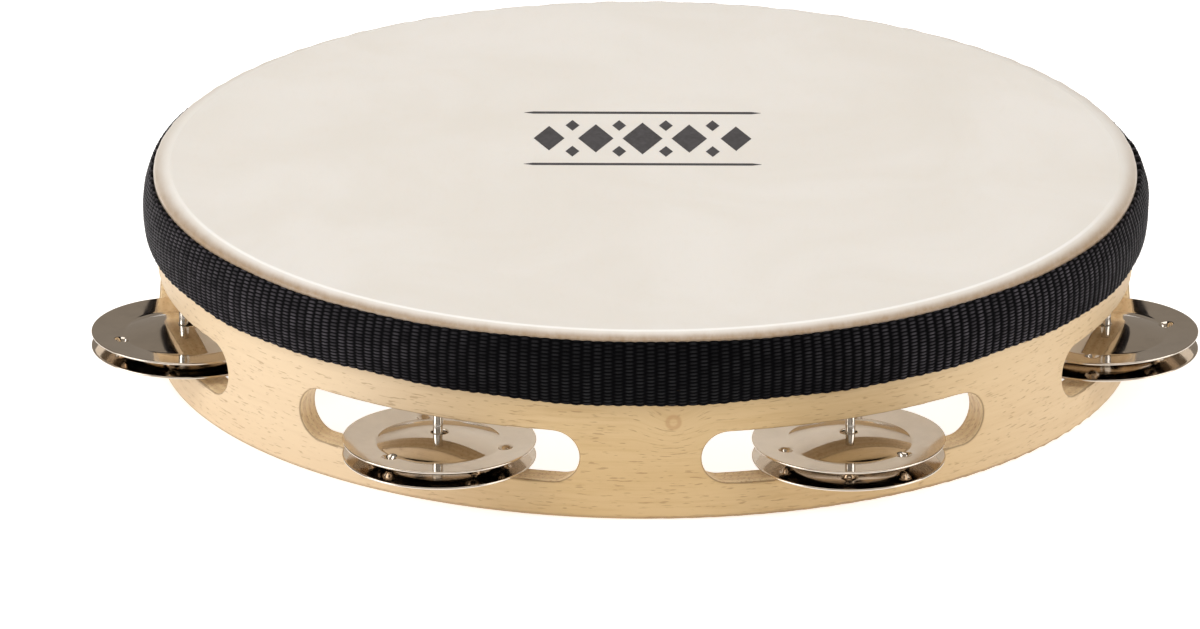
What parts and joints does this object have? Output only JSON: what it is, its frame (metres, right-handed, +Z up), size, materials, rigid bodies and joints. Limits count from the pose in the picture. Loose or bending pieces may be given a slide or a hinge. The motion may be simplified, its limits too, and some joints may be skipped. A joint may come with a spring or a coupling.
{
  "type": "tambourine",
  "caption": "Round headed tambourine: a slotted wooden hoop with a skin head glued over it, a webbing band, and pairs of cupped metal jingles that slide on steel pins.",
  "frame": {"origin": "centre of the drum's lower rim, on the plane the drum stands on", "axes": "+Z up along the drum's axis from the open side to the head, -Y to the front, midway between two jingle slots, +X to the right"},
  "size_m": [0.2874, 0.2842, 0.0507],
  "materials": {
    "wood": "satin, pale hardwood plywood, bare inside the slots",
    "skin": "smooth matt skin",
    "webbing": "woven, slight sheen",
    "pin_steel": "bright drawn",
    "jingle_metal": "bright nickel plate"
  },
  "bodies": {
    "frame": {"shell": "wood", "head": "skin", "band": "webbing", "pin_1": "pin_steel", "pin_2": "pin_steel", "pin_3": "pin_steel", "pin_4": "pin_steel", "pin_5": "pin_steel", "pin_6": "pin_steel", "pin_7": "pin_steel"},
    "lower_1": {"jingle_lower_1": "jingle_metal"},
    "upper_1": {"jingle_upper_1": "jingle_metal"},
    "lower_2": {"jingle_lower_2": "jingle_metal"},
    "upper_2": {"jingle_upper_2": "jingle_metal"},
    "lower_3": {"jingle_lower_3": "jingle_metal"},
    "upper_3": {"jingle_upper_3": "jingle_metal"},
    "lower_4": {"jingle_lower_4": "jingle_metal"},
    "upper_4": {"jingle_upper_4": "jingle_metal"},
    "lower_5": {"jingle_lower_5": "jingle_metal"},
    "upper_5": {"jingle_upper_5": "jingle_metal"},
    "lower_6": {"jingle_lower_6": "jingle_metal"},
    "upper_6": {"jingle_upper_6": "jingle_metal"},
    "lower_7": {"jingle_lower_7": "jingle_metal"},
    "upper_7": {"jingle_upper_7": "jingle_metal"}
  },
  "joints": [
    {"name": "lower_slide_1", "type": "slide", "parent": "frame", "child": "lower_1", "axis": [0, 0, 1], "range_m": [0, 0.00225]},
    {"name": "upper_slide_1", "type": "slide", "parent": "lower_1", "child": "upper_1", "axis": [0, 0, 1], "range_m": [0, 0.00225]},
    {"name": "lower_slide_2", "type": "slide", "parent": "frame", "child": "lower_2", "axis": [0, 0, 1], "range_m": [0, 0.00235]},
    {"name": "upper_slide_2", "type": "slide", "parent": "lower_2", "child": "upper_2", "axis": [0, 0, 1], "range_m": [0, 0.00235]},
    {"name": "lower_slide_3", "type": "slide", "parent": "frame", "child": "lower_3", "axis": [0, 0, 1], "range_m": [0, 0.0028]},
    {"name": "upper_slide_3", "type": "slide", "parent": "lower_3", "child": "upper_3", "axis": [0, 0, 1], "range_m": [0, 0.0028]},
    {"name": "lower_slide_4", "type": "slide", "parent": "frame", "child": "lower_4", "axis": [0, 0, 1], "range_m": [0, 0.0028]},
    {"name": "upper_slide_4", "type": "slide", "parent": "lower_4", "child": "upper_4", "axis": [0, 0, 1], "range_m": [0, 0.0028]},
    {"name": "lower_slide_5", "type": "slide", "parent": "frame", "child": "lower_5", "axis": [0, 0, 1], "range_m": [0, 0.0028]},
    {"name": "upper_slide_5", "type": "slide", "parent": "lower_5", "child": "upper_5", "axis": [0, 0, 1], "range_m": [0, 0.0028]},
    {"name": "lower_slide_6", "type": "slide", "parent": "frame", "child": "lower_6", "axis": [0, 0, 1], "range_m": [0, 0.0027]},
    {"name": "upper_slide_6", "type": "slide", "parent": "lower_6", "child": "upper_6", "axis": [0, 0, 1], "range_m": [0, 0.0027]},
    {"name": "lower_slide_7", "type": "slide", "parent": "frame", "child": "lower_7", "axis": [0, 0, 1], "range_m": [0, 0.0025]},
    {"name": "upper_slide_7", "type": "slide", "parent": "lower_7", "child": "upper_7", "axis": [0, 0, 1], "range_m": [0, 0.0025]}
  ]
}
